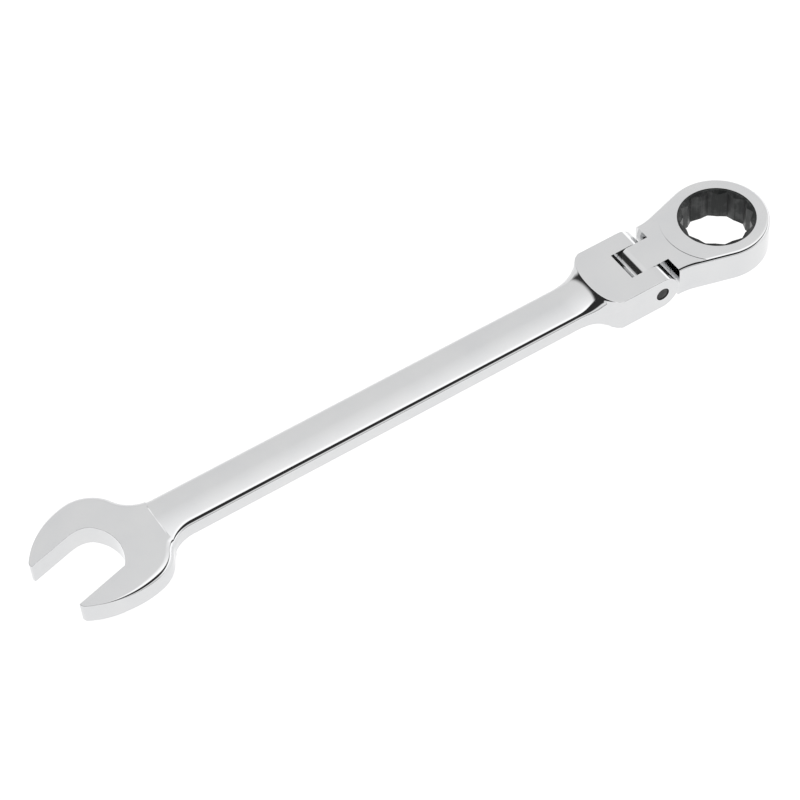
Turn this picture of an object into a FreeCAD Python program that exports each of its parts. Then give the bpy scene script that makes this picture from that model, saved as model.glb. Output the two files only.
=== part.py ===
import FreeCAD, Part
import math
import os
import Sketcher

from FreeCAD import Placement, Rotation, Vector

# Flex-head ratcheting combination wrench for 13/16 inch (20.6 mm) hexagons, in millimetres.
# The origin is on the drive socket's axis, in the plane that the ratchet head and the fork rest on.
# The handle runs towards -X, and +Z points out of the socket's upper face.

DIMENSIONS = {
    # how far a cutting tool runs past the face that it cuts through
    "Overrun": 1.0,
    # ratchet head
    "HeadThick": 12.2,
    "HeadRadius": 17.1,
    "NeckHalfWidth": 11.9,
    "NeckStraightX": -20.0,
    "NeckBlend": 20.0,
    "ShoulderX": -23.3,
    "HeadEdgeRound": 1.3,
    "BossRadius": 18.8,
    "BossStep": 0.12,
    # flex joint
    "PivotX": -30.35,
    "TongueWidth": 11.4,
    "SlotWidth": 11.6,
    "SlotBaseX": -37.4,
    "PinRadius": 2.35,
    "PinRunning": 0.03,
    "PinRecess": 0.25,
    "PinChamfer": 0.35,
    "BallRadius": 1.5,
    "BallGap": 0.03,
    "DetentBoreEndX": -50.0,
    "DetentSpringRadius": 1.15,
    "DetentSpringWire": 0.35,
    "DetentSpringPitch": 1.3,
    # fork and shank
    "ForkHalfWidth": 12.7,
    "ForkSideX": -44.5,
    "ForkTopX": -50.3,
    "ForkTopArc": 25.0,
    "ForkEdgeRound": 0.7,
    "ShankHalfWidth": 7.55,
    "ShankThick": 6.8,
    "ShankEdgeRound": 1.8,
    "FlareSideX": -59.0,
    "FlareTopX": -60.0,
    "ShankStartX": -212.0,
    "ShankEndX": -52.5,
    # open end
    "JawSize": 20.7,
    "JawCentreX": -224.6,
    "JawAngle": 15.0,
    "JawThick": 7.2,
    "JawTip": 20.1,
    "JawTipRound": 1.6,
    "JawEdgeRound": 0.8,
    "JawWidestAt": -1.0,
    "JawFarHalfWidth": 20.5,
    "JawFarBack": 12.2,
    "JawFarOuter": 30.0,
    "JawNearHalfWidth": 21.2,
    "JawNearBack": 13.0,
    "JawNearOuter": 28.5,
    "ThroatDepth": 3.3,
    "ThroatRadius": 13.8,
    "ThroatShift": 0.3,
    "NeckFillet": 9.0,
    # drive gear and its bearing in the head
    "SocketSize": 20.7,
    "SocketTurn": 6.0,
    "SocketLead": 12.1,
    "SocketLeadNarrow": 10.4,
    "SocketLeadDepth": 1.0,
    "TeethCount": 72,
    "ToothTip": 14.3,
    "ToothRoot": 13.65,
    "ToothMesh": 0.06,
    "BandLow": 1.65,
    "BandHigh": 10.1,
    "HubRadius": 12.65,
    "GearRunning": 0.1,
    "GearRecess": 0.2,
    "DragRingProud": 0.07,
    "DragRingWire": 0.2,
    "DragRingZ": 11.1,
    "ClipLow": 0.55,
    "ClipThick": 1.0,
    "ClipGroove": 0.7,
    "ClipGap": 4.0,
    "ClipHole": 0.5,
    "ClipHoleY": 4.2,
    # pawl
    "PawlHalfWidth": 3.8,
    "PawlLow": 3.0,
    "PawlHigh": 9.2,
    "PawlBackX": -17.3,
    "PawlTravel": 0.8,
    "PawlGap": 0.06,
    "PawlSpringRadius": 1.15,
    "PawlSpringWire": 0.35,
    "PawlSpringPitch": 1.3,
    "PawlBoreEndX": -22.4,
}

TURN_TO_Y = Rotation(Vector(1, 0, 0), -90)
TURN_TO_MINUS_X = Rotation(Vector(0, 1, 0), -90)
MIDDLE_Z = "@HeadThick / 2"


def make_sheet(doc):
    """Write the driving dimensions into a spreadsheet, one aliased cell each."""
    sheet = doc.addObject("Spreadsheet::Sheet", "Dimensions")
    for row, (alias, value) in enumerate(DIMENSIONS.items(), start=1):
        sheet.set(f"A{row}", alias)
        sheet.set(f"B{row}", str(value))
        sheet.setAlias(f"B{row}", alias)
    doc.recompute()
    return sheet


class Builder:
    """Adds objects to the document, with their sizes bound to the spreadsheet.

    A formula is an expression in the sheet's aliases, each marked with @, as in "@HeadThick / 2".
    """

    def __init__(self, doc, sheet):
        self.doc = doc
        self.sheet = sheet

    def value(self, alias):
        return float(getattr(self.sheet, alias))

    def bind(self, obj, path, formula):
        obj.setExpression(path, formula.replace("@", "Dimensions."))

    def place(self, obj, place, rotation=None):
        """Place an object at three formulas, turned first by a fixed rotation."""
        if rotation is not None:
            obj.Placement = Placement(Vector(), rotation)
        for axis, formula in zip("xyz", place):
            self.bind(obj, "Placement.Base." + axis, formula)

    def add(self, kind, name, sizes, place, rotation=None):
        """Add a primitive with its sizes and its place given as formulas."""
        obj = self.doc.addObject(kind, name)
        for path, formula in sizes.items():
            self.bind(obj, path, formula)
        self.place(obj, place, rotation)
        return obj

    def cylinder(self, name, radius, height, place, rotation=None):
        return self.add("Part::Cylinder", name, {"Radius": radius, "Height": height}, place, rotation)

    def box(self, name, size, place):
        return self.add("Part::Box", name, dict(zip(("Length", "Width", "Height"), size)), place)

    def shape(self, name, shape):
        obj = self.doc.addObject("Part::Feature", name)
        obj.Shape = shape
        return obj

    def fuse(self, name, shapes):
        obj = self.doc.addObject("Part::MultiFuse", name)
        obj.Shapes = shapes
        return obj

    def cut(self, name, base, tools):
        """Cut one tool, or several fused ones, out of a base."""
        tool = tools[0] if len(tools) == 1 else self.fuse(name + "_tools", tools)
        obj = self.doc.addObject("Part::Cut", name)
        obj.Base = base
        obj.Tool = tool
        return obj


# ---------------------------------------------------------------- outline helpers

def line(start, end):
    return Part.LineSegment(start, end).toShape()


def arc_about(centre, start, end):
    """The shorter arc about a centre, from one point to another."""
    radius = (start - centre).Length
    half_way = (start - centre).normalize() + (end - centre).normalize()
    return Part.Arc(start, centre + half_way.normalize() * radius, end).toShape()


def toward(start, end, distance):
    """The point at a distance from start, on the way to end."""
    return start + (end - start).normalize() * distance


def face_of(edges):
    return Part.Face(Part.Wire(Part.__sortEdges__(edges)))


def middle_of(edge):
    return edge.valueAt((edge.FirstParameter + edge.LastParameter) / 2)


def round_edges(shape, radius, test):
    """Fillet each edge whose middle point passes the test."""
    return shape.makeFillet(radius, [edge for edge in shape.Edges if test(middle_of(edge))])


def ramp_radius(run, rise):
    """Radius of an arc that leaves a flat tangentially and climbs by rise over run."""
    return (run ** 2 + rise ** 2) / (2 * rise)


def toothed_prism(count, root, tip, low, high):
    """A disc with trapezoid teeth, one of them centred on +X."""
    pitch = 2 * math.pi / count
    quarter_flat = 0.05 * pitch
    half_pitch = pitch / 2

    def at(radius, angle):
        return Vector(radius * math.cos(angle), radius * math.sin(angle), low)

    points = []
    for tooth in range(count):
        centre = tooth * pitch
        points.append(at(root, centre - half_pitch + quarter_flat))
        points.append(at(tip, centre - quarter_flat))
        points.append(at(tip, centre + quarter_flat))
        points.append(at(root, centre + half_pitch - quarter_flat))
    face = Part.Face(Part.makePolygon(points + points[:1]))
    return face.extrude(Vector(0, 0, high - low))


def coil(radius, wire, pitch, start_x, end_x, middle_z):
    """A helical spring along X, from start_x towards end_x, whose ends lie inside that length."""
    length = start_x - end_x - wire
    helix = Part.makeHelix(pitch, length, radius)
    circle = Part.Circle(Vector(radius, 0, 0), Vector(0, 1, 0), wire / 2)
    profile = Part.Wire(circle.toShape())
    spring = Part.Wire(helix).makePipeShell([profile], True, True)
    spring.Placement = Placement(Vector(start_x - wire / 2, 0, middle_z), TURN_TO_MINUS_X)
    return spring


# ---------------------------------------------------------------- forged handle

def jaw_frame(build, side):
    """The jaw's own axes for one side: gives the point at a depth and at a distance off the axis."""
    turn = math.radians(180 + build.value("JawAngle"))
    along = Vector(math.cos(turn), math.sin(turn), 0)
    across = Vector(math.sin(turn), -math.cos(turn), 0) * side
    centre = Vector(build.value("JawCentreX"), 0, 0)

    def point(depth, offset):
        return centre + along * depth + across * offset

    return point


def jaw_side(build, side):
    """The outer edge of one jaw, from its tip back to the shank: side is 1 for +Y and -1 for -Y."""
    name = "JawFar" if side > 0 else "JawNear"
    half_width = build.value(name + "HalfWidth")
    back_radius = build.value(name + "Back")
    outer_radius = build.value(name + "Outer")
    widest_at = build.value("JawWidestAt")
    tip = build.value("JawTip")
    tip_round = build.value("JawTipRound")
    point = jaw_frame(build, side)

    back_centre = point(widest_at, half_width - back_radius)
    outer_centre = point(widest_at, half_width - outer_radius)
    widest = point(widest_at, half_width)
    round_depth = tip - tip_round
    reach = math.sqrt((outer_radius - tip_round) ** 2 - (round_depth - widest_at) ** 2)
    round_offset = half_width - outer_radius + reach
    round_centre = point(round_depth, round_offset)
    tip_end = point(tip, round_offset)
    outer_start = toward(outer_centre, round_centre, outer_radius)

    shank_half = build.value("ShankHalfWidth")
    neck_radius = build.value("NeckFillet")
    neck_y = side * (shank_half + neck_radius)
    neck_run = math.sqrt((back_radius + neck_radius) ** 2 - (neck_y - back_centre.y) ** 2)
    neck_centre = Vector(back_centre.x + neck_run, neck_y, 0)
    back_end = toward(back_centre, neck_centre, back_radius)
    neck_end = Vector(neck_centre.x, side * shank_half, 0)
    edges = [
        line(point(tip, build.value("JawSize") / 2), tip_end),
        arc_about(round_centre, tip_end, outer_start),
        arc_about(outer_centre, outer_start, widest),
        arc_about(back_centre, widest, back_end),
        arc_about(neck_centre, back_end, neck_end),
    ]
    return edges, neck_end


def throat_edges(build):
    """The jaw's two flats and the hollow arc between them."""
    flat = build.value("JawSize") / 2
    tip = build.value("JawTip")
    radius = build.value("ThroatRadius")
    shift = build.value("ThroatShift")
    centre_depth = radius - build.value("ThroatDepth")
    edges = []
    ends = []
    for side in (1, -1):
        point = jaw_frame(build, side)
        reach = flat - side * shift
        flat_end = point(centre_depth - math.sqrt(radius ** 2 - reach ** 2), flat)
        edges.append(line(point(tip, flat), flat_end))
        ends.append(flat_end)
    bottom = jaw_frame(build, 1)(centre_depth - radius, shift)
    edges.append(Part.Arc(ends[0], bottom, ends[1]).toShape())
    return edges


def in_jaw_opening(build, point):
    """Whether a point lies on the jaw's flats or in its throat."""
    frame = jaw_frame(build, 1)
    centre = frame(0, 0)
    depth = (point - centre).dot(frame(1, 0) - centre)
    offset = abs((point - centre).dot(frame(0, 1) - centre))
    margin = 0.05
    between_flats = offset < build.value("JawSize") / 2 + margin
    return between_flats and -build.value("ThroatDepth") - margin < depth < build.value("JawTip") - margin


def open_end_plate(build):
    """The flat jaw plate with its two necks, rounded along its outer edge."""
    far_edges, far_end = jaw_side(build, 1)
    near_edges, near_end = jaw_side(build, -1)
    face = face_of(far_edges + near_edges + throat_edges(build) + [line(far_end, near_end)])
    thick = build.value("JawThick")
    middle = build.value("HeadThick") / 2
    plate = face.extrude(Vector(0, 0, thick))
    plate.translate(Vector(0, 0, middle - thick / 2))
    closing_middle = (far_end + near_end) / 2

    def on_rim(point):
        on_face = abs(point.z - middle) > 0.49 * thick
        closing = (Vector(point.x, point.y, 0) - closing_middle).Length < 0.1
        return on_face and not closing and not in_jaw_opening(build, point)

    return round_edges(plate, build.value("JawEdgeRound"), on_rim)


def fork_plan(build):
    """The fork's outline seen from above, flared into the shank."""
    half_width = build.value("ForkHalfWidth")
    shank_half = build.value("ShankHalfWidth")
    flare_x = build.value("FlareSideX")
    side_x = build.value("ForkSideX")
    ear_x = build.value("PivotX") + build.value("HeadThick") / 2
    radius = ramp_radius(side_x - flare_x, half_width - shank_half)
    edges = []
    for side in (1, -1):
        centre = Vector(flare_x, side * (shank_half + radius), 0)
        corner = Vector(side_x, side * half_width, 0)
        edges.append(arc_about(centre, Vector(flare_x, side * shank_half, 0), corner))
        edges.append(line(corner, Vector(ear_x, side * half_width, 0)))
    for x, half in ((flare_x, shank_half), (ear_x, half_width)):
        edges.append(line(Vector(x, half, 0), Vector(x, -half, 0)))
    return face_of(edges)


def ear_elevation(build):
    """The fork's outline seen from the side, with the ears round about the pivot."""
    half_thick = build.value("HeadThick") / 2
    flare_x = build.value("FlareTopX")
    pivot_x = build.value("PivotX")
    y = -build.value("ForkHalfWidth")
    low_start = Vector(flare_x, y, 0)
    high_start = Vector(flare_x, y, 2 * half_thick)
    low_pivot = Vector(pivot_x, y, 0)
    high_pivot = Vector(pivot_x, y, 2 * half_thick)
    ear_end = Vector(pivot_x + half_thick, y, half_thick)
    edges = [
        line(low_start, high_start),
        line(high_start, high_pivot),
        Part.Arc(high_pivot, ear_end, low_pivot).toShape(),
        line(low_pivot, low_start),
    ]
    return face_of(edges)


def ramp_turning(build):
    """The fork's back turned about an upright axis: hollow ramps under an arched top edge."""
    half_thick = build.value("HeadThick") / 2
    shank_half = build.value("ShankThick") / 2
    top_radius = build.value("ForkTopArc")
    run = build.value("ForkTopX") - build.value("FlareTopX")
    ramp = ramp_radius(run, half_thick - shank_half)
    axis_x = build.value("ForkTopX") + top_radius
    foot_x = axis_x + top_radius + run
    edges = []
    for side in (1, -1):
        foot = Vector(foot_x, 0, half_thick + side * shank_half)
        crest = Vector(axis_x + top_radius, 0, half_thick + side * half_thick)
        on_axis = Vector(axis_x, 0, crest.z)
        edges.append(arc_about(foot + Vector(0, 0, side * ramp), foot, crest))
        edges.append(line(crest, on_axis))
    edges.append(line(Vector(foot_x, 0, half_thick - shank_half), Vector(foot_x, 0, half_thick + shank_half)))
    edges.append(line(Vector(axis_x, 0, 0), Vector(axis_x, 0, 2 * half_thick)))
    return face_of(edges).revolve(Vector(axis_x, 0, 0), Vector(0, 0, 1), 360)


def fork_block(build):
    """The fork before its slot is cut, with its long edges rounded."""
    half_width = build.value("ForkHalfWidth")
    thick = build.value("HeadThick")
    plan = fork_plan(build).extrude(Vector(0, 0, thick))
    elevation = ear_elevation(build).extrude(Vector(0, 2 * half_width, 0))
    block = plan.common(elevation).common(ramp_turning(build))
    start_x = build.value("FlareSideX") + 0.5

    def on_long_edge(point):
        off_centre = abs(point.z - thick / 2) > 0.5 and abs(point.y) > 0.6 * half_width
        return off_centre and point.x > start_x

    return round_edges(block, build.value("ForkEdgeRound"), on_long_edge)


def shank_bar(build):
    """The plain bar between the open end and the fork, with rounded edges."""
    bar = build.box(
        "shank_bar",
        ("@ShankEndX - @ShankStartX", "2 * @ShankHalfWidth", "@ShankThick"),
        ("@ShankStartX", "-@ShankHalfWidth", "(@HeadThick - @ShankThick) / 2"),
    )
    build.doc.recompute()
    radius = build.value("ShankEdgeRound")
    long_edges = [
        (index, radius, radius)
        for index, edge in enumerate(bar.Shape.Edges, start=1)
        if edge.BoundBox.XLength > 1.0
    ]
    rounded = build.doc.addObject("Part::Fillet", "shank_rounded")
    rounded.Base = bar
    rounded.Edges = long_edges
    return rounded


def wrench_body(build):
    """The one-piece forging: open end, shank and fork, with its slot, pin holes and detent bore."""
    plate = build.shape("open_end_plate", open_end_plate(build))
    fork = build.shape("fork_block", fork_block(build))
    forging = build.fuse("forging", [plate, shank_bar(build), fork])
    slot = build.box(
        "fork_slot",
        ("@PivotX - @SlotBaseX + @HeadThick", "@SlotWidth", "@HeadThick + 2 * @Overrun"),
        ("@SlotBaseX", "-@SlotWidth / 2", "-@Overrun"),
    )
    pin_hole = build.cylinder(
        "fork_pin_hole",
        "@PinRadius",
        "2 * @ForkHalfWidth + 2 * @Overrun",
        ("@PivotX", "-@ForkHalfWidth - @Overrun", MIDDLE_Z),
        TURN_TO_Y,
    )
    detent_bore = build.cylinder(
        "detent_bore",
        "@BallRadius + @BallGap",
        "@SlotBaseX - @DetentBoreEndX + @Overrun",
        ("@SlotBaseX + @Overrun", "0", MIDDLE_Z),
        TURN_TO_MINUS_X,
    )
    return build.cut("wrench_body", forging, [slot, pin_hole, detent_bore])


# ---------------------------------------------------------------- ratchet head

def head_plan(build):
    """The head's outline: ring, tapering neck, shoulders and tongue."""
    ring = build.value("HeadRadius")
    half = build.value("NeckHalfWidth")
    straight_x = build.value("NeckStraightX")
    blend = build.value("NeckBlend")
    shoulder_x = build.value("ShoulderX")
    tongue_half = build.value("TongueWidth") / 2
    tongue_x = build.value("PivotX") - build.value("HeadThick") / 2

    # the taper is the line from the neck's corner that touches the ring
    corner = Vector(straight_x, half, 0)
    slope = math.atan2(-straight_x, half) - math.acos(ring / corner.Length)
    touch = Vector(-ring * math.sin(slope), ring * math.cos(slope), 0)
    blend_run = blend * math.tan(slope / 2)
    edges = []
    for side in (1, -1):
        def mirrored(point):
            return Vector(point.x, side * point.y, 0)

        taper_end = mirrored(toward(corner, touch, blend_run))
        straight_start = mirrored(corner - Vector(blend_run, 0, 0))
        blend_centre = mirrored(Vector(straight_start.x, half + blend, 0))
        shoulder = mirrored(Vector(shoulder_x, half, 0))
        inner = mirrored(Vector(shoulder_x, tongue_half, 0))
        edges.append(line(mirrored(touch), taper_end))
        edges.append(arc_about(blend_centre, taper_end, straight_start))
        edges.append(line(straight_start, shoulder))
        edges.append(line(shoulder, inner))
        edges.append(line(inner, mirrored(Vector(tongue_x, tongue_half, 0))))
    edges.append(line(Vector(tongue_x, tongue_half, 0), Vector(tongue_x, -tongue_half, 0)))
    low_touch = Vector(touch.x, -touch.y, 0)
    edges.append(Part.Arc(touch, Vector(ring, 0, 0), low_touch).toShape())
    return face_of(edges)


def head_elevation(build):
    """The head's outline seen from the side: flat faces, and a round end about the pivot."""
    half_thick = build.value("HeadThick") / 2
    pivot_x = build.value("PivotX")
    ring_end = build.value("HeadRadius") + build.value("Overrun")
    y = -ring_end
    low_pivot = Vector(pivot_x, y, 0)
    high_pivot = Vector(pivot_x, y, 2 * half_thick)
    tip = Vector(pivot_x - half_thick, y, half_thick)
    low_end = Vector(ring_end, y, 0)
    high_end = Vector(ring_end, y, 2 * half_thick)
    edges = [
        Part.Arc(low_pivot, tip, high_pivot).toShape(),
        line(high_pivot, high_end),
        line(high_end, low_end),
        line(low_end, low_pivot),
    ]
    return face_of(edges)


def head_blank(build):
    """The head before machining, rounded along the rims of its ring and neck."""
    thick = build.value("HeadThick")
    ring = build.value("HeadRadius")
    width = 2 * (ring + build.value("Overrun"))
    plan = head_plan(build).extrude(Vector(0, 0, thick))
    elevation = head_elevation(build).extrude(Vector(0, width, 0))
    shoulder_x = build.value("ShoulderX")
    tongue_half = build.value("TongueWidth") / 2

    def on_rim(point):
        on_face = abs(point.z - thick / 2) > 0.49 * thick
        beside_tongue = abs(point.y) > tongue_half and point.x > shoulder_x + 0.1
        ring_end = point.x > ring - 0.1
        return on_face and (beside_tongue or ring_end)

    return round_edges(plan.common(elevation), build.value("HeadEdgeRound"), on_rim)


def boss_steps(build):
    """The two thin layers that stand off the neck's faces, which leave the ring's boss proud."""
    steps = []
    for name, base in (("low", "0"), ("high", "@HeadThick - @BossStep")):
        layer = build.box(
            "neck_layer_" + name,
            ("-@PivotX + @HeadThick", "2 * @HeadRadius", "@BossStep"),
            ("@PivotX - @HeadThick", "-@HeadRadius", base),
        )
        boss = build.cylinder("ring_boss_" + name, "@BossRadius", "@BossStep", ("0", "0", base))
        steps.append(build.cut("neck_step_" + name, layer, [boss]))
    return steps


def ratchet_head(build):
    """The head's housing: gear cavity, upper lip, clip groove, pawl pocket and pin hole."""
    blank = build.shape("head_blank", head_blank(build))
    cavity = build.cylinder(
        "gear_cavity",
        "@ToothTip + @GearRunning",
        "@BandHigh + @GearRunning + @Overrun",
        ("0", "0", "-@Overrun"),
    )
    lip_bore = build.cylinder(
        "lip_bore",
        "@HubRadius + @GearRunning",
        "@HeadThick + 2 * @Overrun",
        ("0", "0", "-@Overrun"),
    )
    clip_groove = build.cylinder(
        "clip_groove",
        "@ToothTip + @GearRunning + @ClipGroove",
        "@ClipThick",
        ("0", "0", "@ClipLow"),
    )
    pocket_end = "@PawlBackX - @PawlTravel - @GearRunning"
    pawl_pocket = build.box(
        "pawl_pocket",
        (
            "-(" + pocket_end + ") - @HubRadius",
            "2 * (@PawlHalfWidth + @PawlGap)",
            "@PawlHigh - @PawlLow + 2 * @PawlGap",
        ),
        (pocket_end, "-@PawlHalfWidth - @PawlGap", "@PawlLow - @PawlGap"),
    )
    spring_bore = build.cylinder(
        "pawl_spring_bore",
        "@PawlSpringRadius + @PawlSpringWire / 2 + @GearRunning",
        "@PawlBackX - @PawlBoreEndX",
        ("@PawlBackX", "0", MIDDLE_Z),
        TURN_TO_MINUS_X,
    )
    pin_hole = build.cylinder(
        "tongue_pin_hole",
        "@PinRadius + @PinRunning",
        "@TongueWidth + 2 * @Overrun",
        ("@PivotX", "-@TongueWidth / 2 - @Overrun", MIDDLE_Z),
        TURN_TO_Y,
    )
    tools = [cavity, lip_bore, clip_groove, pawl_pocket, spring_bore, pin_hole]
    return build.cut("ratchet_head", blank, tools + boss_steps(build))


def pivot_pin(build):
    """The plain pin through both ears, pressed in the fork and running in the tongue."""
    body = build.doc.addObject("PartDesign::Body", "pivot_pin")
    sketch = sketch_on(body, "pin_circle", "XZ_Plane")
    circle = sketch.addGeometry(Part.Circle(Vector(), Vector(0, 0, 1), build.value("PinRadius")))
    sketch.addConstraint(Sketcher.Constraint("Coincident", circle, 3, -1, 1))
    radius = sketch.addConstraint(Sketcher.Constraint("Radius", circle, build.value("PinRadius")))
    build.bind(sketch, f"Constraints[{radius}]", "@PinRadius")
    pad = body.newObject("PartDesign::Pad", "pin_shaft")
    pad.Profile = sketch
    pad.Midplane = True
    build.bind(pad, "Length", "2 * (@ForkHalfWidth - @PinRecess)")
    build.doc.recompute()
    chamfer = body.newObject("PartDesign::Chamfer", "pin_ends")
    rims = [f"Edge{i}" for i, edge in enumerate(pad.Shape.Edges, start=1) if edge.isClosed()]
    chamfer.Base = (pad, rims)
    build.bind(chamfer, "Size", "@PinChamfer")
    body.Tip = chamfer
    build.place(body, ("@PivotX", "0", MIDDLE_Z))
    return body


def detent_ball(build):
    """The ball that bears on the tongue's round end."""
    x = "@PivotX - @HeadThick / 2 - @BallGap - @BallRadius"
    return build.add("Part::Sphere", "detent_ball", {"Radius": "@BallRadius"}, (x, "0", MIDDLE_Z))


def detent_spring(build):
    """The coil behind the detent ball, whose first turn touches the ball."""
    ball = build.value("BallRadius")
    radius = build.value("DetentSpringRadius")
    wire = build.value("DetentSpringWire")
    middle = build.value("HeadThick") / 2
    ball_x = build.value("PivotX") - middle - build.value("BallGap") - ball
    first_turn_x = ball_x - math.sqrt((ball + wire / 2) ** 2 - radius ** 2)
    pitch = build.value("DetentSpringPitch")
    spring = coil(radius, wire, pitch, first_turn_x + wire / 2, build.value("DetentBoreEndX"), middle)
    return build.shape("detent_spring", spring)


# ---------------------------------------------------------------- ratchet works

def sketch_on(body, name, plane):
    """A sketch on one of a body's own origin planes."""
    sketch = body.newObject("Sketcher::SketchObject", name)
    origin_plane = next(item for item in body.Origin.OriginFeatures if item.Role == plane)
    sketch.AttachmentSupport = [(origin_plane, "")]
    sketch.MapMode = "FlatFace"
    return sketch


def drive_gear(build):
    """The ring that turns the nut: outer teeth, plain hubs and a twelve-point socket."""
    teeth = toothed_prism(
        int(build.value("TeethCount")),
        build.value("ToothRoot"),
        build.value("ToothTip"),
        build.value("BandLow"),
        build.value("BandHigh"),
    )
    band = build.shape("gear_teeth", teeth)
    hub = build.cylinder("gear_hub", "@HubRadius", "@HeadThick - 2 * @GearRecess", ("0", "0", "@GearRecess"))
    blank = build.fuse("gear_blank", [band, hub])
    tools = []
    for turn in (0, 30):
        sizes = {"Circumradius": "@SocketSize / 2 / cos(30 deg)", "Height": "@HeadThick + 2 * @Overrun"}
        rotation = Rotation(Vector(0, 0, 1), build.value("SocketTurn") + turn)
        broach = build.add("Part::Prism", f"socket_hexagon_{turn}", sizes, ("0", "0", "-@Overrun"), rotation)
        broach.Polygon = 6
        tools.append(broach)
    upper_lead = {
        "Radius1": "@SocketLeadNarrow",
        "Radius2": "@SocketLead",
        "Height": "@SocketLeadDepth",
    }
    lower_lead = {
        "Radius1": "@SocketLead",
        "Radius2": "@SocketLeadNarrow",
        "Height": "@SocketLeadDepth",
    }
    upper_z = "@HeadThick - @GearRecess - @SocketLeadDepth"
    tools.append(build.add("Part::Cone", "upper_lead", upper_lead, ("0", "0", upper_z)))
    tools.append(build.add("Part::Cone", "lower_lead", lower_lead, ("0", "0", "@GearRecess")))
    groove_outer = build.cylinder(
        "ring_groove_outer",
        "@HubRadius + @Overrun",
        "2 * @DragRingWire",
        ("0", "0", "@DragRingZ - @DragRingWire"),
    )
    groove_inner = build.cylinder(
        "ring_groove_inner",
        "@HubRadius + @DragRingProud - 2 * @DragRingWire",
        "2 * @DragRingWire",
        ("0", "0", "@DragRingZ - @DragRingWire"),
    )
    tools.append(build.cut("drag_ring_groove", groove_outer, [groove_inner]))
    return build.cut("drive_gear", blank, tools)


def drag_ring(build):
    """The round ring in the gear's upper hub, which drags lightly in the head's lip."""
    sizes = {"Radius1": "@HubRadius + @DragRingProud - @DragRingWire", "Radius2": "@DragRingWire"}
    return build.add("Part::Torus", "drag_ring", sizes, ("0", "0", "@DragRingZ"))


def retaining_clip(build):
    """The split ring that keeps the gear in the head, with two plier holes beside its gap."""
    outer = build.cylinder(
        "clip_outer",
        "@ToothTip + @GearRunning + @ClipGroove",
        "@ClipThick",
        ("0", "0", "@ClipLow"),
    )
    inner = build.cylinder("clip_inner", "@HubRadius + @GearRunning", "@ClipThick", ("0", "0", "@ClipLow"))
    gap = build.box(
        "clip_gap",
        ("@HeadRadius", "@ClipGap", "@ClipThick"),
        ("0", "-@ClipGap / 2", "@ClipLow"),
    )
    holes = []
    for side in (1, -1):
        y = f"{side} * @ClipHoleY"
        x = "sqrt(((@HubRadius + @ToothTip + @ClipGroove) / 2 + @GearRunning) ^ 2 - @ClipHoleY ^ 2)"
        holes.append(build.cylinder(f"clip_hole_{side + 1}", "@ClipHole", "@ClipThick", (x, y, "@ClipLow")))
    return build.cut("retaining_clip", outer, [inner, gap] + holes)


def pawl(build):
    """The toothed block that meshes with the gear and slides back to let it click round."""
    gap = build.value("ToothMesh")
    gear_space = toothed_prism(
        int(build.value("TeethCount")),
        build.value("ToothRoot") + gap,
        build.value("ToothTip") + gap,
        0,
        build.value("HeadThick"),
    )
    block = build.box(
        "pawl_block",
        ("-@PawlBackX - @HubRadius", "2 * @PawlHalfWidth", "@PawlHigh - @PawlLow"),
        ("@PawlBackX", "-@PawlHalfWidth", "@PawlLow"),
    )
    return build.cut("pawl", block, [build.shape("gear_space", gear_space)])


def pawl_spring(build):
    """The coil that presses the pawl into the gear."""
    spring = coil(
        build.value("PawlSpringRadius"),
        build.value("PawlSpringWire"),
        build.value("PawlSpringPitch"),
        build.value("PawlBackX"),
        build.value("PawlBoreEndX"),
        build.value("HeadThick") / 2,
    )
    return build.shape("pawl_spring", spring)


def check(doc, nodes):
    """Stop if any object failed to build, or if a node's shape isn't one valid solid."""
    for obj in doc.Objects:
        if "Invalid" in obj.State or "Error" in obj.State:
            raise RuntimeError(f"{obj.Name} failed to build: {obj.State}")
    for node in nodes:
        shape = node.Shape
        if shape.isNull() or not shape.isValid() or len(shape.Solids) != 1:
            raise RuntimeError(f"{node.Label} is not one valid solid")
        print(f"{node.Label}: {shape.Volume:.1f} mm3, x {shape.BoundBox.XMin:.2f} to {shape.BoundBox.XMax:.2f}")


def main():
    doc = FreeCAD.newDocument("flex_head_ratchet_wrench")
    build = Builder(doc, make_sheet(doc))
    makers = (
        wrench_body,
        ratchet_head,
        pivot_pin,
        detent_ball,
        detent_spring,
        drive_gear,
        drag_ring,
        retaining_clip,
        pawl,
        pawl_spring,
    )
    nodes = []
    for maker in makers:
        node = maker(build)
        node.Label = maker.__name__
        nodes.append(node)
    doc.recompute()
    check(doc, nodes)
    os.makedirs("parts", exist_ok=True)
    for node in nodes:
        node.Shape.exportStep(f"parts/{node.Label}.step")


main()
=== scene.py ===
import math

import bmesh
import bpy
import mathutils
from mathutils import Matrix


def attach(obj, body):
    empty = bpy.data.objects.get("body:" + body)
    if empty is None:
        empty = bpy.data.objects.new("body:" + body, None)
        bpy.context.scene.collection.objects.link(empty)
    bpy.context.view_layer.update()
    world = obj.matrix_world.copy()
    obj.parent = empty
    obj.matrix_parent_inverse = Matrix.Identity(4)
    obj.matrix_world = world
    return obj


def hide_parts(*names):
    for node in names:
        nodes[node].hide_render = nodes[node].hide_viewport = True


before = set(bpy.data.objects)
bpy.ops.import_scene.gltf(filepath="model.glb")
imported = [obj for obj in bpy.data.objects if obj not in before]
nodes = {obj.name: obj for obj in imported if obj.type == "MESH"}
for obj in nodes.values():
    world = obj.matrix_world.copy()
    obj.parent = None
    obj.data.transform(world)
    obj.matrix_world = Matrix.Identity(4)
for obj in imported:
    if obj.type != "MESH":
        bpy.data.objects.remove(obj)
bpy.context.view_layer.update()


# ---------------------------------------------------------------- camera
CAMERA_PLACE = (-0.37771, -0.47183, 0.65138)
CAMERA_YAW = 0.498
CAMERA_PITCH = 0.878
CAMERA_ROLL = -0.089
CAMERA_LENS = 122.27


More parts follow.
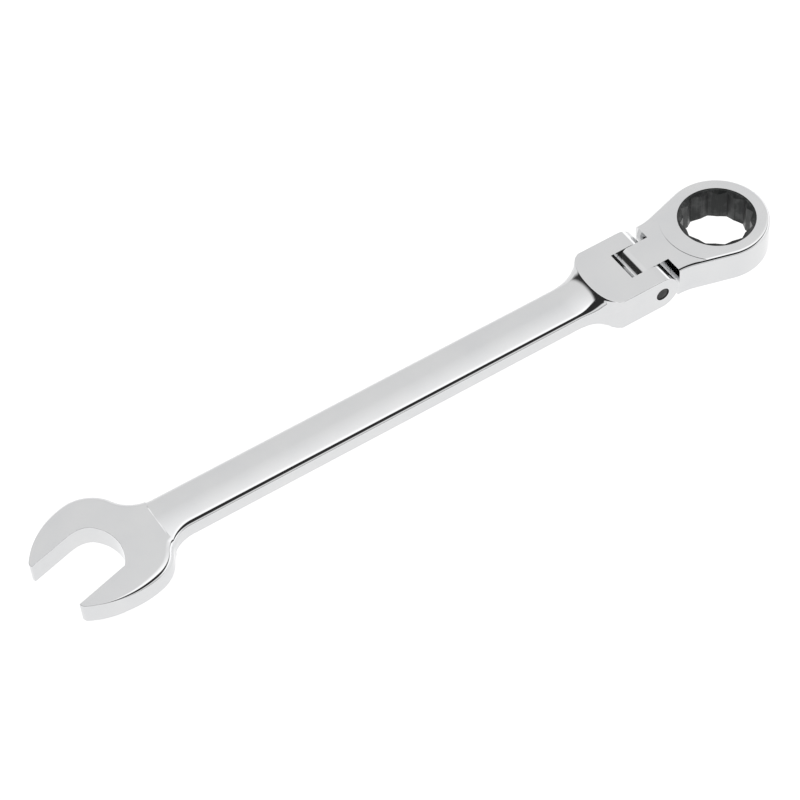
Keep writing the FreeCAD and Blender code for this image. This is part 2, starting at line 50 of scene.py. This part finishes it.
def make_camera():
    """The camera looks down on the wrench from beside the open end."""
    right = mathutils.Vector((math.cos(CAMERA_YAW), -math.sin(CAMERA_YAW), 0))
    ahead = mathutils.Vector((math.sin(CAMERA_YAW), math.cos(CAMERA_YAW), 0))
    above = mathutils.Vector((0, 0, 1))
    look = math.cos(CAMERA_PITCH) * ahead - math.sin(CAMERA_PITCH) * above
    up = math.sin(CAMERA_PITCH) * ahead + math.cos(CAMERA_PITCH) * above
    rolled_right = math.cos(CAMERA_ROLL) * right + math.sin(CAMERA_ROLL) * up
    rolled_up = math.cos(CAMERA_ROLL) * up - math.sin(CAMERA_ROLL) * right
    data = bpy.data.cameras.new("camera")
    data.lens = CAMERA_LENS
    data.sensor_width = 36
    data.clip_start, data.clip_end = 0.01, 50
    camera = bpy.data.objects.new("camera", data)
    turn = mathutils.Matrix((rolled_right, rolled_up, -look)).transposed()
    camera.matrix_world = mathutils.Matrix.Translation(CAMERA_PLACE) @ turn.to_4x4()
    bpy.context.scene.collection.objects.link(camera)
    bpy.context.scene.camera = camera


# ---------------------------------------------------------------- shader graphs
class Graph:
    """Adds and wires shader nodes with short calls."""

    def __init__(self, owner):
        owner.use_nodes = True
        owner.node_tree.nodes.clear()
        self.tree = owner.node_tree

    def add(self, kind, sockets=None, **settings):
        node = self.tree.nodes.new(kind)
        for key, value in settings.items():
            setattr(node, key, value)
        for key, value in (sockets or {}).items():
            if isinstance(value, bpy.types.NodeSocket):
                self.tree.links.new(value, node.inputs[key])
            else:
                node.inputs[key].default_value = value
        return node

    def math(self, operation, *values, clamp=False):
        node = self.add("ShaderNodeMath", dict(enumerate(values)), operation=operation, use_clamp=clamp)
        return node.outputs[0]

    def ramp(self, factor, stops, interpolation="LINEAR"):
        node = self.add("ShaderNodeValToRGB", {"Fac": factor})
        ramp = node.color_ramp
        ramp.interpolation = interpolation
        while len(ramp.elements) < len(stops):
            ramp.elements.new(0.5)
        for element, (place, value) in zip(ramp.elements, stops):
            element.position = place
            element.color = value if isinstance(value, tuple) else (value, value, value, 1)
        return node.outputs["Color"]

    def mix(self, factor, first, second, blend_type="MIX"):
        sockets = {0: factor, 6: first, 7: second}
        node = self.add("ShaderNodeMix", sockets, data_type="RGBA", blend_type=blend_type)
        return node.outputs[2]

    def dot(self, first, second):
        sockets = {0: first, 1: second}
        return self.add("ShaderNodeVectorMath", sockets, operation="DOT_PRODUCT").outputs["Value"]

    def scaled(self, place, scale):
        return self.add("ShaderNodeMapping", {"Vector": place, "Scale": scale}).outputs[0]

    def noise(self, place, scale, detail, **more):
        sockets = {"Vector": place, "Scale": scale, "Detail": detail, **more}
        return self.add("ShaderNodeTexNoise", sockets).outputs["Fac"]

    def surface(self, tint, metallic, rough, height, strength, distance):
        """The finished surface: a Principled shader over a fine bump, wired to the output."""
        relief = {"Height": height, "Strength": strength, "Distance": distance}
        bump = self.add("ShaderNodeBump", relief).outputs[0]
        sockets = {"Base Color": tint, "Metallic": metallic, "Roughness": rough, "Normal": bump}
        shader = self.add("ShaderNodeBsdfPrincipled", sockets)
        self.add("ShaderNodeOutputMaterial", {"Surface": shader.outputs[0]})


# ---------------------------------------------------------------- floor and light
# ramps as (place, brightness); a height runs from 0 at the horizon to 1 overhead
WALL_HEIGHTS = [(0.0, 1.0), (0.22, 1.0), (0.31, 0.035), (1.0, 0.03)]
FAR_WALL_RISE = [(0.0, 0.0), (0.5, 0.0), (0.8, 0.14), (1.0, 0.14)]
SKIRTING_DARKNESS = [(0.0, 0.75), (0.04, 0.65), (0.13, 0.0), (1.0, 0.0)]
RATCHET_END_GAIN = [(0.0, 1.0), (0.55, 1.0), (0.8, 1.45), (1.0, 1.45)]
SOFT_BOX_AXIS = (0.35, 0.35, 0.87)
SOFT_BOX_EDGE = [(0.0, 0.0), (0.72, 0.0), (0.77, 1.0), (1.0, 1.0)]
PANEL_AXIS = (0.0, -0.8, 0.6)
PANEL_BRIGHTNESS = [(0.0, 0.82), (0.5, 0.9), (0.8, 1.45), (1.0, 1.5)]


def make_world():
    """A studio: pale low walls all round, dark above them, and a big soft box over the far side."""
    world = bpy.data.worlds.new("studio")
    bpy.context.scene.world = world
    g = Graph(world)
    direction = g.add("ShaderNodeTexCoord").outputs["Generated"]
    axes = g.add("ShaderNodeSeparateXYZ", {0: direction}).outputs
    height = g.math("DIVIDE", g.math("ARCSINE", axes["Z"]), math.pi / 2, clamp=True)
    # the far wall is taller than the others
    far_side = g.ramp(axes["Y"], FAR_WALL_RISE, "EASE")
    walls = g.ramp(g.math("SUBTRACT", height, far_side), WALL_HEIGHTS)
    # a dark skirting runs along the foot of the near wall
    near_side = g.math("MULTIPLY", axes["Y"], -1.0, clamp=True)
    skirting = g.ramp(height, SKIRTING_DARKNESS)
    lit = g.math("SUBTRACT", 1.0, g.math("MULTIPLY", near_side, skirting))
    walls = g.math("MULTIPLY", walls, lit)
    # the wall beyond the ratchet end is lit harder
    beyond = g.ramp(axes["X"], RATCHET_END_GAIN)
    walls = g.mix(1.0, walls, beyond, "MULTIPLY")
    toward_box = g.dot(direction, mathutils.Vector(SOFT_BOX_AXIS).normalized())
    inside = g.ramp(toward_box, SOFT_BOX_EDGE)
    # the soft box is brightest over the wrench and falls off towards the far wall
    depth = g.dot(direction, PANEL_AXIS)
    from_0_to_1 = g.math("ADD", g.math("MULTIPLY", depth, 0.5), 0.5)
    panel = g.ramp(from_0_to_1, PANEL_BRIGHTNESS)
    light = g.mix(inside, walls, panel)
    background = g.add("ShaderNodeBackground", {"Color": light, "Strength": 1.0})
    g.add("ShaderNodeOutputWorld", {"Surface": background.outputs[0]})


FLOOR_HEIGHT = -0.045  # clear of the head when it is turned right down
FLOOR_HALF = 5.0
FLOOR_GREY = 0.5
FLOOR_GLOW = 0.75  # enough, with the grey, to stay pure white under the wrench's shadow


def make_floor():
    """A pale light table: mostly its own glow, so that the wrench's shadow stays faint."""
    floor = bpy.data.meshes.new("floor")
    corners = [(-1, -1), (1, -1), (1, 1), (-1, 1)]
    places = [(x * FLOOR_HALF, y * FLOOR_HALF, FLOOR_HEIGHT) for x, y in corners]
    floor.from_pydata(places, [], [(0, 1, 2, 3)])
    thing = bpy.data.objects.new("floor", floor)
    bpy.context.scene.collection.objects.link(thing)
    material = bpy.data.materials.new("floor")
    g = Graph(material)
    pale = g.add("ShaderNodeBsdfDiffuse", {"Color": (FLOOR_GREY, FLOOR_GREY, FLOOR_GREY, 1)})
    glow = g.add("ShaderNodeEmission", {"Color": (1, 1, 1, 1), "Strength": FLOOR_GLOW})
    both = g.add("ShaderNodeAddShader", {0: pale.outputs[0], 1: glow.outputs[0]})
    g.add("ShaderNodeOutputMaterial", {"Surface": both.outputs[0]})
    floor.materials.append(material)


# ---------------------------------------------------------------- materials
def begin(name):
    """A new material, its graph, and the place on the piece that its patterns follow, in metres."""
    material = bpy.data.materials.new(name)
    g = Graph(material)
    return material, g, g.add("ShaderNodeTexCoord").outputs["Object"]


def chrome(name):
    """Bright chrome plate with a faint polishing grain, hazy patches and small scuffs."""
    material, g, place = begin(name)
    haze = g.noise(place, scale=70.0, detail=5.0, Roughness=0.6)
    grain = g.noise(g.scaled(place, (60.0, 2600.0, 2600.0)), scale=1.0, detail=3.0)
    cells = g.add("ShaderNodeTexVoronoi", {"Vector": place, "Scale": 420.0}, feature="DISTANCE_TO_EDGE")
    scuff_lines = g.ramp(cells.outputs["Distance"], [(0.0, 1.0), (0.012, 0.0), (1.0, 0.0)])
    scuff_zone = g.ramp(haze, [(0.0, 0.0), (0.58, 0.0), (0.68, 0.5), (1.0, 0.5)])
    worn = g.math("MULTIPLY", scuff_lines, scuff_zone)
    rough = g.math("ADD", g.math("MULTIPLY", haze, 0.09), g.math("MULTIPLY", grain, 0.06))
    rough = g.math("ADD", rough, g.math("MULTIPLY", worn, 0.15))
    tint = g.ramp(haze, [(0.3, (0.685, 0.69, 0.70, 1)), (0.7, (0.72, 0.722, 0.725, 1))])
    tint = g.mix(worn, tint, (0.6, 0.6, 0.6, 1))
    wave = g.noise(place, scale=140.0, detail=1.0)
    relief = g.math("ADD", wave, g.math("MULTIPLY", grain, 0.02))
    g.surface(tint, 1.0, rough, relief, strength=0.25, distance=0.00002)
    return material


def blacked(name, base, worn, roughness):
    """Blackened steel with a mottled oxide film, rubbed towards bare metal in spots."""
    material, g, place = begin(name)
    mottle = g.noise(place, scale=900.0, detail=4.0, Roughness=0.65)
    cloud = g.noise(place, scale=210.0, detail=2.0)
    streaks = g.noise(g.scaled(place, (1500.0, 1500.0, 50.0)), scale=1.0, detail=2.0)
    film = g.math("MULTIPLY", g.math("ADD", mottle, streaks), cloud)
    rubbed = g.ramp(film, [(0.0, 0.0), (0.42, 0.0), (0.68, 1.0), (1.0, 1.0)])
    tint = g.mix(rubbed, base, worn)
    rough = g.math("ADD", g.math("MULTIPLY", mottle, 0.25), roughness - 0.12)
    g.surface(tint, 0.55, rough, mottle, strength=0.5, distance=0.00003)
    return material


def steel(name, tone, roughness, stretch):
    """Bare steel with fine drawn or ground lines along one direction."""
    material, g, place = begin(name)
    lines = g.noise(g.scaled(place, stretch), scale=1.0, detail=3.0)
    cloud = g.noise(place, scale=400.0, detail=2.0)
    dark, light = (tone * 0.85, tone * 0.85, tone * 0.86, 1), (tone, tone, tone * 1.01, 1)
    tint = g.ramp(cloud, [(0.3, dark), (0.7, light)])
    rough = g.math("ADD", g.math("MULTIPLY", lines, 0.15), roughness - 0.07)
    g.surface(tint, 1.0, rough, lines, strength=0.3, distance=0.00001)
    return material


def rubber(name):
    """Black rubber with a fine grit."""
    material, g, place = begin(name)
    grit = g.noise(place, scale=3000.0, detail=2.0)
    tint = g.ramp(grit, [(0.3, (0.012, 0.012, 0.013, 1)), (0.7, (0.028, 0.028, 0.03, 1))])
    rough = g.math("ADD", g.math("MULTIPLY", grit, 0.2), 0.5)
    g.surface(tint, 0.0, rough, grit, strength=0.3, distance=0.00001)
    return material


# ---------------------------------------------------------------- handle mesh
# Millimetres, with X and Y from the socket's axis and Z from the wrench's middle plane.
MM = 0.001
MIDDLE_Z = 6.1
PIVOT_X = -30.35
FORK_HALF_WIDTH = 12.7
FORK_HALF_THICK = 6.1
FORK_SIDE_X = -44.5
FORK_EDGE_ROUND = 0.22
FLARE_EDGE_ROUND = 4.6
UNDER_FLARE_ROUND = 3.2
UNDER_EDGE_ROUND = 0.9
PAD_BULGE = 5.8
PAD_ROUNDNESS = 2.2
PAD_FLAT_X = -38.4
RAMP_FOOT_X = -57.3
RAMP_FOOT_BULGE = 3.0
RAMP_RUN = 9.7
FLARE_X = -59.0
SHANK_HALF_WIDTH = 7.75
SHANK_HALF_THICK = 3.6
SHANK_EDGE_ROUND = 2.35
SHANK_CROWN = 45.0
BULGE_START_X = -76.0
STEP_X = -207.2
JAW_CENTRE_X = -224.6
JAW_TURN = math.radians(195)
JAW_HALF_OPENING = 10.35
JAW_HALF_THICK = 3.75
JAW_TIP = 20.1
JAW_TIP_ROUND = 1.6
JAW_EDGE_ROUND = 2.4
TIP_EDGE_ROUND = 0.15
JAW_FLAT_EDGE_ROUND = 0.12
STEP_EDGE_ROUND = 0.9
# far (1) and near (-1) jaw: half width, radius of the back, radius of the outer edge, where it is widest
JAW_SIDES = {1: (20.5, 12.2, 30.0, -1.0), -1: (21.2, 13.0, 31.0, -2.2)}
THROAT_DEPTH = 3.3
THROAT_RADIUS = 13.8
THROAT_SHIFT = 0.3
THROAT_EASE = 3.2
NECK_FILLET = 11.0
SLOT_HALF_WIDTH = 5.8
SLOT_BASE_X = -37.4
PIN_HOLE_RADIUS = 2.35
BALL_BORE_RADIUS = 1.53
BALL_BORE_END_X = -50.0

# how finely the handle is divided
ARC_SPACING = 0.35
JAW_FLAT_PARTS = 12
THROAT_EASE_PARTS = 10
CROWN_STEPS = 14
ROUND_STEPS = 12
NECK_PARTS = 24
SHANK_PARTS = 20
BULGE_PARTS = 15
RAMP_PARTS = 30
PAD_PARTS = 8
EAR_PARTS = 4
EAR_TURNS = 28
RIM_STEPS = 6
CLOSING_PARTS = 16


def flat_point(x, y):
    """A point of the wrench's plan."""
    return mathutils.Vector((x, y))


def jaw_point(side, depth, offset):
    """A point of the open end, by its depth along the jaw and its offset from the jaw's own middle line."""
    along = flat_point(math.cos(JAW_TURN), math.sin(JAW_TURN))
    across = flat_point(math.sin(JAW_TURN), -math.cos(JAW_TURN)) * side
    return flat_point(JAW_CENTRE_X, 0) + along * depth + across * offset


def toward(start, target, distance):
    """The point at a distance from start, on the way to target."""
    return start + (target - start).normalized() * distance


def arc(centre, start, end):
    """Points along the shorter arc about a centre, without its last point."""
    first = math.atan2(start.y - centre.y, start.x - centre.x)
    turn = math.atan2(end.y - centre.y, end.x - centre.x) - first
    turn = (turn + math.pi) % (2 * math.pi) - math.pi
    radius = (start - centre).length
    count = max(4, round(abs(turn) * radius / ARC_SPACING))
    angles = [first + turn * k / count for k in range(count)]
    return [centre + radius * flat_point(math.cos(a), math.sin(a)) for a in angles]


def jaw_outside(side):
    """The outer outline of one jaw from its tip to where the shank's straight edge begins."""
    half_width, back, outer, widest_at = JAW_SIDES[side]
    back_centre = jaw_point(side, widest_at, half_width - back)
    outer_centre = jaw_point(side, widest_at, half_width - outer)
    widest = jaw_point(side, widest_at, half_width)
    round_depth = JAW_TIP - JAW_TIP_ROUND
    reach = math.sqrt((outer - JAW_TIP_ROUND) ** 2 - (round_depth - widest_at) ** 2)
    round_centre = jaw_point(side, round_depth, half_width - outer + reach)
    tip_end = jaw_point(side, JAW_TIP, half_width - outer + reach)
    outer_start = toward(outer_centre, round_centre, outer)
    neck_y = side * (SHANK_HALF_WIDTH + NECK_FILLET)
    neck_run = math.sqrt((back + NECK_FILLET) ** 2 - (neck_y - back_centre.y) ** 2)
    neck_centre = flat_point(back_centre.x + neck_run, neck_y)
    back_end = toward(back_centre, neck_centre, back)
    neck_end = flat_point(neck_centre.x, side * SHANK_HALF_WIDTH)
    outline = arc(round_centre, tip_end, outer_start) + arc(outer_centre, outer_start, widest)
    outline += arc(back_centre, widest, back_end) + arc(neck_centre, back_end, neck_end)
    return outline + [neck_end]


def throat_outline():
    """The open end's flats and hollow throat, from the near jaw's tip to the far jaw's."""
    centre_depth = THROAT_RADIUS - THROAT_DEPTH
    ends = {}
    for side in (1, -1):
        reach = JAW_HALF_OPENING - side * THROAT_SHIFT
        depth = centre_depth - math.sqrt(THROAT_RADIUS ** 2 - reach ** 2)
        ends[side] = jaw_point(side, depth, JAW_HALF_OPENING)
    centre = jaw_point(1, centre_depth, THROAT_SHIFT)
    near_tip = jaw_point(-1, JAW_TIP, JAW_HALF_OPENING)
    far_tip = jaw_point(1, JAW_TIP, JAW_HALF_OPENING)
    near = [near_tip.lerp(ends[-1], k / JAW_FLAT_PARTS) for k in range(JAW_FLAT_PARTS)]
    far = [ends[1].lerp(far_tip, k / JAW_FLAT_PARTS) for k in range(JAW_FLAT_PARTS + 1)]
    # the far flat runs into the throat on an easy curve
    hollow = [p for p in arc(centre, ends[-1], ends[1]) if (p - ends[1]).length > THROAT_EASE]
    far = [p for p in far if (p - ends[1]).length > THROAT_EASE]
    eased = []
    for k in range(1, THROAT_EASE_PARTS):
        t = k / THROAT_EASE_PARTS
        eased.append(hollow[-1].lerp(ends[1], t).lerp(ends[1].lerp(far[0], t), t))
    return near + hollow + eased + far


def half_width_at(outline, x):
    """How far an outline's last stretch stands from the wrench's middle line at a place along it."""
    for a, b in zip(reversed(outline[:-1]), reversed(outline)):
        if a.x <= x <= b.x:
            return abs(a.lerp(b, (x - a.x) / (b.x - a.x)).y)
    return SHANK_HALF_WIDTH


def flare_half_width(x):
    """Half the width of the shank and the fork, which flares on an arc between them."""
    if x <= FLARE_X:
        return SHANK_HALF_WIDTH
    if x >= FORK_SIDE_X:
        return FORK_HALF_WIDTH
    run, rise = FORK_SIDE_X - FLARE_X, FORK_HALF_WIDTH - SHANK_HALF_WIDTH
    radius = (run ** 2 + rise ** 2) / (2 * rise)
    return SHANK_HALF_WIDTH + radius - math.sqrt(radius ** 2 - (x - FLARE_X) ** 2)


def half_section(half_width, half_thick, crown, edge):
    """Points from the middle line to the side: a shallow crown, then the rounded edge."""
    edge_middle = half_width - edge
    start = math.asin(edge_middle / (crown - edge))
    points = []
    for k in range(CROWN_STEPS):
        angle = start * k / CROWN_STEPS
        points.append((crown * math.sin(angle), half_thick - crown * (1 - math.cos(angle))))
    crown_end = half_thick - crown * (1 - math.cos(start))
    for k in range(ROUND_STEPS + 1):
        angle = start + (math.pi / 2 - start) * k / ROUND_STEPS
        drop = edge * (math.cos(start) - math.cos(angle))
        points.append((edge_middle + edge * math.sin(angle), crown_end - drop))
    return points


def smooth_step(t):
    """An easy climb from 0 to 1."""
    t = min(1, max(0, t))
    return t * t * (3 - 2 * t)


def blend(a, b, t):
    """The value a part of the way from a to b."""
    return a + (b - a) * t


def stations():
    """Cross-sections along the shank and fork: place, bulge, half widths, half thickness, crown and edge."""
    far, near = jaw_outside(1), jaw_outside(-1)
    rows = []

    def add(x, bulge, thick, crown, edge, under=UNDER_EDGE_ROUND, shrink=0.0):
        if x < FLARE_X:
            widths = (half_width_at(far, x) - shrink, half_width_at(near, x) - shrink)
        else:
            widths = (flare_half_width(x),) * 2
        rows.append((x, bulge, widths, thick, crown, edge, under))

    # the loft begins inside the open end's plate, a little narrower than the neck
    shank = (SHANK_HALF_THICK, SHANK_CROWN, SHANK_EDGE_ROUND)
    add(STEP_X - 0.5, 0, *shank, shrink=0.3)
    add(STEP_X - 0.02, 0, *shank, shrink=0.05)
    neck_end = max(far[-1].x, near[-1].x)
    for k in range(1, NECK_PARTS + 1):
        add(blend(STEP_X, neck_end, k / NECK_PARTS), 0, *shank)
    for k in range(1, SHANK_PARTS + 1):
        add(blend(neck_end, BULGE_START_X, k / SHANK_PARTS), 0, *shank)
    for k in range(1, BULGE_PARTS + 1):
        t = k / BULGE_PARTS
        add(blend(BULGE_START_X, RAMP_FOOT_X, t), RAMP_FOOT_BULGE * smooth_step(t), *shank)
    rise = FORK_HALF_THICK - SHANK_HALF_THICK
    radius = (RAMP_RUN ** 2 + rise ** 2) / (2 * rise)
    for k in range(1, RAMP_PARTS + 1):
        # the parts get shorter towards the pad, where the ramp turns up
        s = 1 - (1 - k / RAMP_PARTS) ** 1.25
        thick = SHANK_HALF_THICK + radius - math.sqrt(radius ** 2 - (RAMP_RUN * s) ** 2)
        crown = SHANK_CROWN / max(1 - s, 0.02)
        edge = blend(SHANK_EDGE_ROUND, FLARE_EDGE_ROUND, smooth_step(s / 0.8))
        edge = blend(edge, 1.2, smooth_step((s - 0.9) / 0.1))
        under = min(edge, blend(UNDER_EDGE_ROUND, UNDER_FLARE_ROUND, smooth_step(s / 0.8)))
        bulge = blend(RAMP_FOOT_BULGE, PAD_BULGE, s)
        add(blend(RAMP_FOOT_X, FORK_SIDE_X, s), bulge, thick, crown, edge, under)
    pad = (FORK_HALF_THICK, SHANK_CROWN / 0.001, FORK_EDGE_ROUND, FORK_EDGE_ROUND)
    for k in range(PAD_PARTS + 1):
        t = k / PAD_PARTS
        add(blend(FORK_SIDE_X + 0.12, PAD_FLAT_X, t), PAD_BULGE * (1 - t), *pad)
    for k in range(1, EAR_PARTS + 1):
        add(blend(PAD_FLAT_X, PIVOT_X, k / EAR_PARTS), 0, *pad)
    return rows


def section_points(row, under=False):
    """Half a station from the far side to the near side, as (x, y, z) from the middle plane."""
    x, bulge, (far_width, near_width), thick, crown, upper_edge, lower_edge = row
    edge = lower_edge if under else upper_edge
    points = []
    for side, width in ((1, far_width), (-1, near_width)):
        half = []
        for y, z in half_section(width, thick, crown, edge):
            v = min(1, y / width)
            back = bulge * (1 - v ** PAD_ROUNDNESS) ** (1 / PAD_ROUNDNESS)
            half.append((x - back, side * y, z))
        points = list(reversed(half)) if side == 1 else points + half[1:]
    return points


def loft_handle():
    """The shank and fork as one closed mesh."""
    bm = bmesh.new()
    tops, bottoms = [], []
    for row in stations():
        tops.append([bm.verts.new(p) for p in section_points(row)])
        bottoms.append([bm.verts.new((x, y, -z)) for x, y, z in section_points(row, under=True)])
    for (a, b), (c, d) in zip(zip(tops, tops[1:]), zip(bottoms, bottoms[1:])):
        for k in range(len(a) - 1):
            bm.faces.new((a[k], a[k + 1], b[k + 1], b[k]))
            bm.faces.new((c[k], d[k], d[k + 1], c[k + 1]))
        for k in (0, -1):
            bm.faces.new((a[k], b[k], d[k], c[k]))
    bm.faces.new(tops[0] + list(reversed(bottoms[0])))
    # the round ear ends turn the last section about the pivot
    last = [v.co.copy() for v in tops[-1]]
    rows = [tops[-1]]
    for j in range(1, EAR_TURNS):
        angle = math.pi / 2 - math.pi * j / EAR_TURNS
        across, up = math.cos(angle), math.sin(angle)
        rows.append([bm.verts.new((PIVOT_X + p.z * across, p.y, p.z * up)) for p in last])
    rows.append(bottoms[-1])
    for a, b in zip(rows, rows[1:]):
        for k in range(len(a) - 1):
            bm.faces.new((a[k], a[k + 1], b[k + 1], b[k]))
    for k in (0, -1):
        bm.faces.new([row[k] for row in rows])
    bmesh.ops.recalc_face_normals(bm, faces=bm.faces)
    return mesh_object("handle_loft", bm)


def rim_rounds(outline):
    """The outer rim's rounding, small at a jaw's tip and full where the jaw meets the neck."""
    last = len(outline) - 1
    # the rounding grows between these two shares of the way from the tip
    start, end = 0.12, 0.72
    shares = [smooth_step((k / last - start) / (end - start)) for k in range(last + 1)]
    return [blend(TIP_EDGE_ROUND, JAW_EDGE_ROUND, share) for share in shares]


def open_end():
    """The open end's plate: its outline raised, with a rounded outer rim and crisp jaw edges."""
    def cut_at_step(outline):
        kept = [p for p in outline if p.x < STEP_X]
        y = half_width_at(outline, STEP_X)
        return kept + [flat_point(STEP_X, math.copysign(y, kept[-1].y))]

    far, near = cut_at_step(jaw_outside(1)), cut_at_step(jaw_outside(-1))
    throat = throat_outline()
    # the closing edge keeps clear of the step's two corners
    closing = [near[-1].lerp(far[-1], k / CLOSING_PARTS) for k in range(3, CLOSING_PARTS - 2)]
    outline = throat + far + list(reversed(closing)) + list(reversed(near))
    crisp = len(throat)
    edges = [JAW_FLAT_EDGE_ROUND] * crisp + rim_rounds(far) + [STEP_EDGE_ROUND] * len(closing)
    edges += list(reversed(rim_rounds(near)))
    count = len(outline)
    inward = []
    for k in range(count):
        a, b, c = outline[k - 1], outline[k], outline[(k + 1) % count]
        before, after = (b - a).normalized(), (c - b).normalized()
        bisector = flat_point(-(before.y + after.y), before.x + after.x)
        if bisector.length < 1e-6:
            bisector = flat_point(-before.y, before.x)
        bisector.normalize()
        miter = bisector.dot(flat_point(-before.y, before.x))
        inward.append(bisector / max(miter, 0.5))
    area = sum(a.x * b.y - b.x * a.y for a, b in zip(outline, outline[1:] + outline[:1]))
    turn = 1 if area > 0 else -1
    # at the step's two corners the rim moves straight across the wrench
    far_corner = crisp + len(far) - 1
    inward[far_corner] = flat_point(0, -turn)
    inward[far_corner + len(closing) + 1] = flat_point(0, turn)
    bm = bmesh.new()
    rings = []
    for sign, rounding in ((1, JAW_EDGE_ROUND), (-1, UNDER_EDGE_ROUND)):
        for j in range(RIM_STEPS + 1):
            angle = math.pi / 2 * (1 - j / RIM_STEPS if sign == 1 else j / RIM_STEPS)
            ring = []
            for p, n, edge in zip(outline, inward, (min(edge, rounding) for edge in edges)):
                q = p + n * turn * edge * (1 - math.cos(angle))
                z = sign * (JAW_HALF_THICK - edge * (1 - math.sin(angle)))
                ring.append(bm.verts.new((q.x, q.y, z)))
            rings.append(ring)
    for a, b in zip(rings, rings[1:]):
        for k in range(count):
            n = (k + 1) % count
            bm.faces.new((a[k], a[n], b[n], b[k]))
    bm.faces.new(rings[0])
    bm.faces.new(rings[-1])
    bmesh.ops.recalc_face_normals(bm, faces=bm.faces)
    return mesh_object("open_end", bm)


def mesh_object(name, bm):
    """A new object from a mesh in millimetres about the wrench's middle plane."""
    mesh = bpy.data.meshes.new(name)
    bm.to_mesh(mesh)
    bm.free()
    mesh.transform(mathutils.Matrix.Scale(MM, 4) @ mathutils.Matrix.Translation((0, 0, MIDDLE_Z)))
    thing = bpy.data.objects.new(name, mesh)
    bpy.context.scene.collection.objects.link(thing)
    return thing


def cutter_box(name, low, high):
    """A box between two corners."""
    bm = bmesh.new()
    bmesh.ops.create_cube(bm, size=1)
    low, high = mathutils.Vector(low), mathutils.Vector(high)
    size = high - low
    for v in bm.verts:
        v.co = mathutils.Vector([c * s for c, s in zip(v.co, size)]) + (low + high) / 2
    return mesh_object(name, bm)


def cutter_rod(name, radius, start, end, sides=96):
    """A round rod between two points."""
    bm = bmesh.new()
    axis = mathutils.Vector(end) - mathutils.Vector(start)
    turn = axis.to_track_quat("Z", "Y").to_matrix().to_4x4()
    middle = (mathutils.Vector(start) + mathutils.Vector(end)) / 2
    matrix = mathutils.Matrix.Translation(middle) @ turn
    bmesh.ops.create_cone(bm, cap_ends=True, segments=sides, radius1=radius, radius2=radius,
                          depth=axis.length, matrix=matrix)
    return mesh_object(name, bm)


def combine(body, tool, operation):
    """Joins or cuts a piece with a tool, which is then thrown away."""
    change = body.modifiers.new(operation.lower(), "BOOLEAN")
    change.object = tool
    change.operation = operation
    change.solver = "EXACT"
    evaluated = body.evaluated_get(bpy.context.evaluated_depsgraph_get())
    mesh = bpy.data.meshes.new_from_object(evaluated)
    body.modifiers.clear()
    body.data = mesh
    bpy.data.objects.remove(tool)


def finish_surface(thing, material, sharp=32):
    """Smooth shading that stays flat on flat faces and crisp on real edges."""
    mesh = thing.data
    mesh.materials.clear()
    mesh.materials.append(material)
    mesh.polygons.foreach_set("use_smooth", [True] * len(mesh.polygons))
    mesh.set_sharp_from_angle(angle=math.radians(sharp))
    weighted = thing.modifiers.new("weighted", "WEIGHTED_NORMAL")
    weighted.keep_sharp = True
    weighted.weight = 80


def make_handle(material):
    """The forging: loft and open end joined, then slotted, bored and drilled."""
    body = loft_handle()
    combine(body, open_end(), "UNION")
    past = 1.0
    slot = cutter_box("slot", (SLOT_BASE_X, -SLOT_HALF_WIDTH, -FORK_HALF_THICK - past),
                      (PIVOT_X + FORK_HALF_THICK + past, SLOT_HALF_WIDTH, FORK_HALF_THICK + past))
    combine(body, slot, "DIFFERENCE")
    reach = FORK_HALF_WIDTH + past
    pin_hole = cutter_rod("pin_hole", PIN_HOLE_RADIUS, (PIVOT_X, -reach, 0), (PIVOT_X, reach, 0))
    combine(body, pin_hole, "DIFFERENCE")
    ball_start, ball_end = (BALL_BORE_END_X, 0, 0), (SLOT_BASE_X + past, 0, 0)
    ball_bore = cutter_rod("ball_bore", BALL_BORE_RADIUS, ball_start, ball_end, sides=48)
    combine(body, ball_bore, "DIFFERENCE")
    body.name = "handle_forging"
    finish_surface(body, material)
    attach(body, "handle")
    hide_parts("wrench_body")


def dress(node, material):
    """Give every slot of a CAD node one material."""
    for slot in nodes[node].material_slots:
        slot.material = material


make_camera()
make_world()
make_floor()
bpy.context.scene.view_settings.view_transform = "Standard"

make_handle(chrome("polished_chrome"))
dress("ratchet_head", chrome("polished_chrome_head"))
dress("pivot_pin", blacked("black_pin", (0.015, 0.016, 0.017, 1), (0.05, 0.05, 0.05, 1), 0.35))
dress("drive_gear", blacked("black_gear", (0.018, 0.02, 0.02, 1), (0.06, 0.062, 0.062, 1), 0.38))
dress("drag_ring", rubber("ring_rubber"))
dress("retaining_clip", steel("clip_steel", 0.42, 0.3, (900.0, 900.0, 4000.0)))
dress("pawl_spring", steel("pawl_spring_steel", 0.5, 0.25, (4000.0, 900.0, 900.0)))
dress("detent_spring", steel("detent_spring_steel", 0.5, 0.25, (4000.0, 900.0, 900.0)))
dress("pawl", steel("pawl_steel", 0.4, 0.32, (600.0, 4000.0, 4000.0)))
dress("detent_ball", steel("ball_steel", 0.62, 0.12, (700.0, 700.0, 700.0)))
